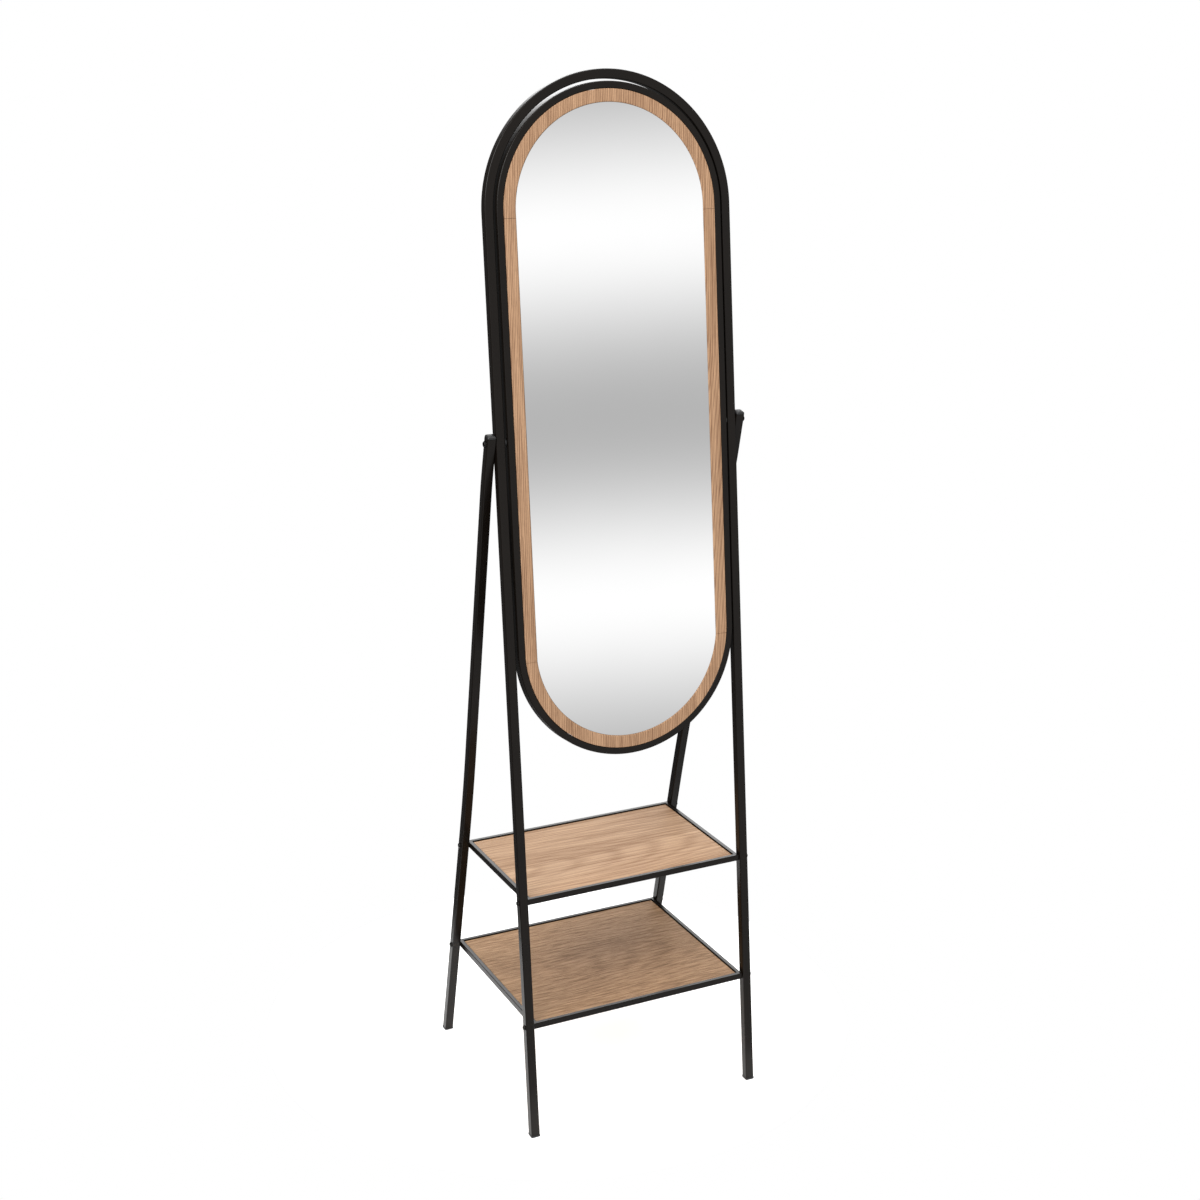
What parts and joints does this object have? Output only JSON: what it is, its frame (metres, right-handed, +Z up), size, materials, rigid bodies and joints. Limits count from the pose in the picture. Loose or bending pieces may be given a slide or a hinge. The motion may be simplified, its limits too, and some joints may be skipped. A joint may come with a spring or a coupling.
{
  "type": "cheval floor mirror",
  "caption": "free-standing oval mirror with a wood ring, tilting in a leaning black tube arch with rear legs and wooden shelves",
  "frame": {"origin": "on the floor, midway between the four feet, under the middle of the bounding box", "axes": "+Z up; +Y from the front legs towards the rear legs; +X to the right of someone looking into the glass"},
  "size_m": [0.4314, 0.3812, 1.5998],
  "materials": {
    "black_paint": "satin black powder coat on steel tube",
    "black_plastic": "moulded black plastic",
    "black_steel": "black oxide on steel",
    "zinc_steel": "bright zinc plate",
    "ring_wood": "matt lacquered light oak",
    "upper_board_wood": "matt lacquered light oak",
    "lower_board_wood": "matt lacquered light oak",
    "mirror_glass": "silvered float glass",
    "backing_board": "dark brown fibreboard"
  },
  "bodies": {
    "stand": {"front_frame": "black_paint", "rear_leg_left": "black_paint", "rear_leg_right": "black_paint", "upper_shelf_frame": "black_paint", "lower_shelf_frame": "black_paint", "rear_leg_cap_left": "black_plastic", "rear_leg_cap_right": "black_plastic", "foot_front_left": "black_plastic", "foot_front_right": "black_plastic", "foot_rear_left": "black_plastic", "foot_rear_right": "black_plastic", "pivot_spacer_left": "black_plastic", "pivot_spacer_right": "black_plastic", "upper_shelf_board": "upper_board_wood", "lower_shelf_board": "lower_board_wood", "upper_shelf_bolt_front_left": "black_steel", "upper_shelf_bolt_front_right": "black_steel", "upper_shelf_bolt_rear_left": "black_steel", "upper_shelf_bolt_rear_right": "black_steel", "lower_shelf_bolt_front_left": "black_steel", "lower_shelf_bolt_front_right": "black_steel", "lower_shelf_bolt_rear_left": "black_steel", "lower_shelf_bolt_rear_right": "black_steel", "pivot_washer_left": "black_steel", "pivot_washer_right": "black_steel", "upper_board_screw_1": "zinc_steel", "upper_board_screw_2": "zinc_steel", "upper_board_screw_3": "zinc_steel", "upper_board_screw_4": "zinc_steel", "lower_board_screw_1": "zinc_steel", "lower_board_screw_2": "zinc_steel", "lower_board_screw_3": "zinc_steel", "lower_board_screw_4": "zinc_steel"},
    "mirror": {"mirror_rim": "black_paint", "mirror_glass": "mirror_glass", "backing_board": "backing_board", "wood_ring_top": "ring_wood", "wood_ring_bottom": "ring_wood", "wood_ring_left": "ring_wood", "wood_ring_right": "ring_wood", "backing_screw_1": "zinc_steel", "backing_screw_2": "zinc_steel", "backing_screw_3": "zinc_steel", "backing_screw_4": "zinc_steel", "backing_screw_5": "zinc_steel", "backing_screw_6": "zinc_steel", "backing_screw_7": "zinc_steel", "backing_screw_8": "zinc_steel", "pivot_nut_left": "zinc_steel", "pivot_nut_right": "zinc_steel", "pivot_bolt_left": "black_steel", "pivot_bolt_right": "black_steel"}
  },
  "joints": [
    {"name": "mirror_tilt", "type": "hinge", "parent": "stand", "child": "mirror", "pos_m": [0, -0.0915, 1.078], "axis": [1, 0, 0], "continuous": true}
  ]
}
